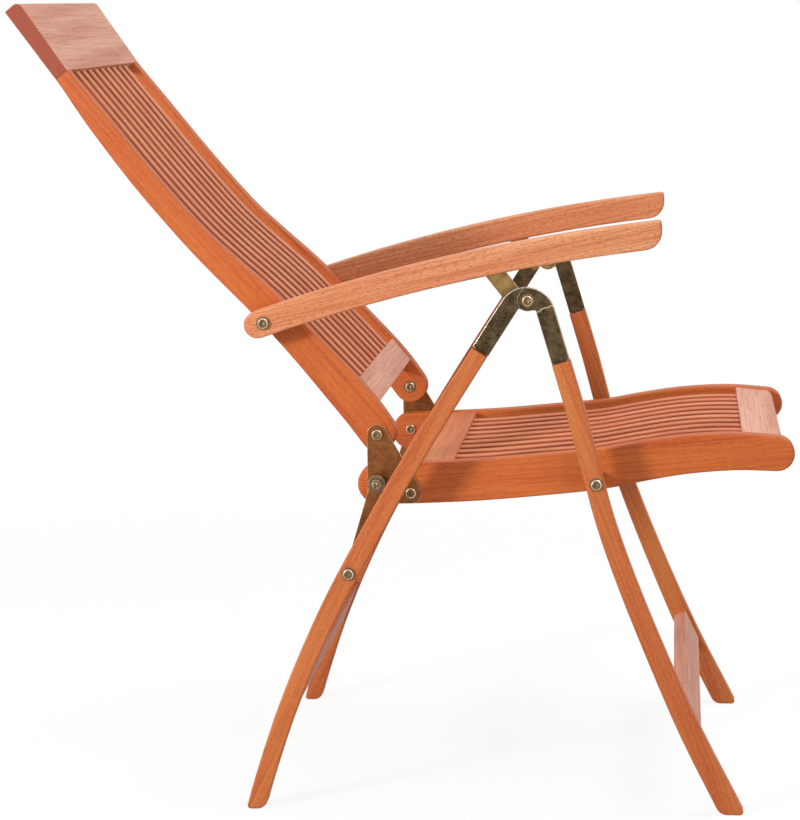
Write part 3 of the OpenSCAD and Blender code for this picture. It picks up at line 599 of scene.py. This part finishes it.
for side, sign in (("right", -1), ("left", 1)):
    path = bpy.data.meshes.new("path")
    out = sign * (strap_side + 0.0002)
    path.from_pydata([(out, crossing.y - 0.0106, crossing.z - 0.0131),
                      (out, crossing.y - 0.0200, crossing.z - 0.0085),
                      (out, crossing.y - 0.0302, crossing.z - 0.0057)], [(0, 1), (1, 2)], [])
    bead = plain_mesh("weld", path, ("NODES", {"node_group": bead_tree, "Radius": 0.0005,
                                               "Waviness": 0.0045, "Finish": bolt_steel}))
    bead.shade_smooth()
    # the whole bead gets the bright edge colour, which is partly a painted highlight
    bead.attributes.new("bare_edge_and_highlight", "FLOAT", "FACE").data.foreach_set("value", [1.0] * len(bead.polygons))
    bead.materials.clear()
    bead.materials.append(bolt_steel)
    weld = bpy.data.objects.new("steel_weld_" + side, bead)
    bpy.context.scene.collection.objects.link(weld)
    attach(weld, "front_frame")


# Bolts of the seat links. Each goes through the rear leg from outside, with a sleeve between leg
# and link, and its nut sits on the inside of the link.
link_side, link_inside = 0.2393, 0.2305
fittings("link_bolts", "rear_leg_frame", link_bolt, (
    (washer(), bolt_head(washer_t), shank(-0.0432, washer_t - 0.0001)), leg_side, socket(washer_t)))
fittings("link_spacers", "rear_leg_frame", link_bolt, ((sleeve(0, 0.0212),), link_side, None))
blind_nut = [(0, 0), (head_r - 0.0006, 0), (head_r, 0.0006), (head_r, nut_h), (0, nut_h)], nut_sides
fittings("link_nuts", "links", link_bolt, ((blind_nut,), link_inside, None))


# Seat links. A flat steel bar on each side hangs the seat's rear bolt from the rear leg. Its plating
# is a warmer brown than that of the straps.
def stamped_edge(edge):
    """Edges left by the stamping tool, slightly rounded."""
    return stamped if across_face(edge) else 0


# the last colour is the bright bare edge with its painted highlight
plate_steel = plated_steel("plate_steel", srgb(108, 60, 34), srgb(146, 97, 56), srgb(208, 186, 150), 0.42)
for side in ("right", "left"):
    flat_steel("link_" + side, stamped_edge, plate_steel, "links")


# Seat rails. Deep hardwood side pieces sawn to a long S, rounded at both ends and along every edge.
# The front legs, the links and the hinge plates are bolted to them.
def rail_edge(edge):
    """The long edges and the round ends are eased alike."""
    return 0.003 if across_face(edge) else 0


for number, side in enumerate(("right", "left")):
    wooden("seat_rail_" + side, rail_edge, 7 + number, frame_wood, "seat_frame", "frame_wood")


# Seat boards. Wide flat boards close the seat in front and behind; the slats are let into them.
# The front one is of the paler wood, and the rear one a little paler than the rails.
rear_board_wood = oiled_wood("rear_board_wood", srgb(199, 106, 54), srgb(215, 128, 68),
                             srgb(126, 42, 13), srgb(224, 146, 90), 0.3)
inner_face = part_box("seat_rear_board")[1].x


def slotted_edge(edge):
    """Long edges are eased and the slots for the slats stay sharp."""
    middle = (edge.verts[0].co + edge.verts[1].co) / 2
    if edge.calc_length() > long_edge:
        return 0.0018
    return 0.0004 if abs(middle.x) > inner_face - 0.001 else 0


wooden("seat_front_board", slotted_edge, 9, board_wood, "seat_frame", "board_wood")
wooden("seat_rear_board", slotted_edge, 10, rear_board_wood, "seat_frame", "frame_wood")


# Slats. Nine narrow bars in the seat and nine in the back follow the curve of the side pieces, a
# little below them. They are moulded with round edges, their sides are darkened with painted shade,
# and they are let into the boards at both ends.
slat_tree, given, result = new_tree("slats", {
    "Count": "Int", "Pitch": "Float", "Width": "Float", "Thickness": "Float", "Edge": "Float",
    "Finish": "Material"})
path = put(slat_tree, "GeometryNodeMeshToCurve", {0: given.outputs[0]})
path = put(slat_tree, "GeometryNodeCurveSplineType", {0: path.outputs[0]}, spline_type="CATMULL_ROM")
path = put(slat_tree, "GeometryNodeSetSplineResolution", {0: path.outputs[0], "Resolution": 3})
path = put(slat_tree, "GeometryNodeSetCurveNormal", {0: path.outputs[0]}, mode="Z_UP")
section = put(slat_tree, "GeometryNodeCurvePrimitiveQuadrilateral", {
    "Width": given.outputs["Width"], "Height": given.outputs["Thickness"]})
section = put(slat_tree, "GeometryNodeFilletCurve", {"Curve": section.outputs[0], "Count": 4,
                                                     "Radius": given.outputs["Edge"]}, mode="POLY")
slat = put(slat_tree, "GeometryNodeCurveToMesh", {
    "Curve": path.outputs[0], "Profile Curve": section.outputs[0], "Fill Caps": True})
back_by = maths(slat_tree, "MULTIPLY", maths(slat_tree, "SUBTRACT", given.outputs["Count"], 1.0), -0.5)
back_by = maths(slat_tree, "MULTIPLY", back_by, given.outputs["Pitch"])
begin = put(slat_tree, "ShaderNodeCombineXYZ", {"X": back_by})
stride = put(slat_tree, "ShaderNodeCombineXYZ", {"X": given.outputs["Pitch"]})
row = put(slat_tree, "GeometryNodeMeshLine", {
    "Count": given.outputs["Count"], "Start Location": begin.outputs[0], "Offset": stride.outputs[0]},
    mode="OFFSET")
placed = put(slat_tree, "GeometryNodeInstanceOnPoints", {"Points": row.outputs[0],
                                                         "Instance": slat.outputs[0]})
end_tree(slat_tree, given, result, placed)
slat_count, slat_t, slat_round = 9, 0.011, 0.0035


def middle_line(node):
    """The line down the middle of a slat, from the pairs of corners on one of its side faces."""
    points = {tuple(round(c, 6) for c in v.co) for v in frame["nodes"][node].data.vertices}
    outer = max(p[0] for p in points)
    points = [Vector((0, p[1], p[2])) for p in points if p[0] > outer - 1e-5]
    reach = max(points, key=lambda p: p.y) - min(points, key=lambda p: p.y)
    points.sort(key=lambda p: p.dot(reach))
    return [(a + b) / 2 for a, b in zip(points[::2], points[1::2])]


def slats(name, number, body, finish):
    """A row of slats along the middle line of the first one, each with grain of its own."""
    nodes = [name + "_%d" % (i + 1) for i in range(slat_count)]
    line = middle_line(nodes[0])
    low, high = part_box(nodes[4])
    pitch = abs(low.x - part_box(nodes[5])[0].x)
    path = bpy.data.meshes.new("path")
    path.from_pydata(line, [(i, i + 1) for i in range(len(line) - 1)], [])
    mesh = plain_mesh(name, path, ("NODES", {
        "node_group": slat_tree, "Count": slat_count, "Pitch": pitch, "Width": high.x - low.x,
        "Thickness": slat_t, "Edge": slat_round, "Finish": finish}))
    mesh.shade_smooth()
    mesh.set_sharp_from_angle(angle=math.radians(35))
    points = np.array([v.co[:] for v in mesh.vertices])
    which = np.round(points[:, 0] / pitch)
    along = np.array(line[-1] - line[0])
    along /= np.linalg.norm(along)
    through = np.cross(along, (1.0, 0, 0))
    grain = np.stack([points @ along + (which + number) * board_step[0],
                      points[:, 0] - which * pitch + which * board_step[1],
                      points @ through + (which + number) * board_step[2]], axis=1)
    mesh.attributes.new("grain", "FLOAT_VECTOR", "POINT").data.foreach_set("vector", grain.ravel())
    # marks the slats' sides, facing along the row, for the painted shade
    painted_flank_shades = np.clip(np.abs([face.normal.x for face in mesh.polygons]) * 3 - 1.5, 0, 1)
    mesh.attributes.new("painted_flank_shade", "FLOAT", "FACE").data.foreach_set("value", painted_flank_shades)
    finished("wood_" + name + "s", mesh, finish, body, "slat_wood", *nodes)


slat_wood = oiled_wood("slat_wood", srgb(208, 112, 66), srgb(226, 142, 94), srgb(124, 50, 26),
                       srgb(232, 160, 118), 0.2)
slats("seat_slat", 31, "seat_frame", slat_wood)
slats("back_slat", 51, "back_frame", slat_wood)


# Hinge plates. A stamped triangular steel plate on each side joins the back to the seat rail. Two
# bolts hold it flat on the rail, and the back turns on the bolt in its upper corner.
for side in ("right", "left"):
    flat_steel("hinge_plate_" + side, stamped_edge, plate_steel, "seat_frame")


# Bolts of the plates. A short bolt holds each plate in front; the rear one stands out through the
# link with a collar, a washer and a nut, and has a domed socket head on its inner end.
rear_bolt, plate_side = pivot["link_fold"], 0.228
fittings("plate_bolts", "seat_frame", plate_bolt, (
    (bolt_head(), shank(-0.0355, -0.0001), nut(-0.0345)), plate_side, socket()))
domed_bar = [(0, 0), (bolt_r, 0), (bolt_r, 0.0555), (bolt_r * 0.8, 0.0566), (0, 0.0569)], 32
fittings("rear_seat_bolts", "seat_frame", rear_bolt,
         ((domed_bar,), 0.1991, None),
         ((bolt_head(),), -0.199, socket()))
fittings("rear_seat_nuts", "seat_frame", rear_bolt,
         ((sleeve(0, 0.0077),), plate_side, None),
         ((sleeve(0, washer_t - hair, 0.0095),), link_side, None),
         ((nut(0, 0.00585),), 0.2407, None))


# Back stiles. Curved hardwood side pieces, deep at the hinge and slim at the top, where the head
# board sits square on their ends.
stile_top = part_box("back_stile_right")[1].z


def stile_edge(edge):
    """The joint under the head board stays tight; the long edges are eased."""
    joint = all(v.co.z > stile_top - 0.016 for v in edge.verts)
    return 0.0003 if joint else 0.0025 if across_face(edge) else 0


for number, side in enumerate(("right", "left")):
    wooden("back_stile_" + side, stile_edge, 11 + number, frame_wood, "back_frame", "frame_wood")


# Head board and lower rail of the back. Broad pale boards take the ends of the slats; the head
# board is rounded over in front and its end grain shows at the sides.
def head_edge(edge):
    """The outer edges are eased, and the slots for the slats stay sharp."""
    middle = (edge.verts[0].co + edge.verts[1].co) / 2
    return 0.0012 if abs(middle.x) > 0.22 or edge.calc_length() > long_edge else 0


wooden("head_board", head_edge, 13, board_wood, "back_frame", "board_wood")
wooden("back_lower_rail", slotted_edge, 14, board_wood, "back_frame", "board_wood")


# Hinge bolts of the back. The back turns on these steel bolts, which go through plate and stile and
# end in a domed socket cap on a thin washer.
fittings("back_hinge_bolts", "hinge_bolts", pivot["recline"],
         ((bolt_head(), shank(-0.0292, -0.0001)), 0.2283, socket()),
         ((bolt_head(), sleeve(-0.0001, 0.0004, washer_r)), -0.1987, socket()))


# Arms. Long bowed bars of a golden cut of the hardwood with well rounded edges and a figure of fine
# darker flecks. A groove underneath takes the catch.
arm_wood = oiled_wood("arm_wood", srgb(214, 130, 84), srgb(236, 168, 122), srgb(150, 78, 44),
                      srgb(160, 82, 46), 0.75)
arm_low, arm_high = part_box("arm_left")


def arm_edge(edge):
    """The edges of the groove stay sharp; the others are well rounded."""
    if any(arm_low.x + 0.001 < abs(v.co.x) < arm_high.x - 0.001 for v in edge.verts):
        return 0
    return 0.0027 if across_face(edge) else 0


for number, side in enumerate(("right", "left")):
    wooden("arm_" + side, arm_edge, 15 + number, arm_wood, "arms", "arm_wood")


# Racks and catches. A toothed steel strip lines each groove, and a flat strap rises from the leg
# bolt into it with a cross pin through its end. The catches are a lighter, yellower steel.
# the last colour is the bright bare edge with its painted highlight
catch_steel = plated_steel("catch_steel", srgb(116, 84, 48), srgb(166, 134, 84), srgb(222, 206, 168), 0.4)
flat_steel("arm_racks", stamped_edge, plate_steel, "arms")
for side in ("right", "left"):
    flat_steel("catch_" + side, stamped_edge, catch_steel, "catches")


# Arm bolts. The arms turn on these steel bolts, which go through arm and stile, with a washer on
# each side of the arm and a nut on the stile's inner side.
arm_bolt, arm_side, stile_side = pivot["arm_fold"], 0.2597, 0.225
fittings("arm_bolts", "arm_bolts", arm_bolt, (through_bolt(-0.0665), arm_side, socket(washer_t)))
fittings("arm_washers", "arm_bolts", arm_bolt, (
    ((ring_outline(bore_r, washer_r, 0, 0.0041), round_steps),), stile_side, None))
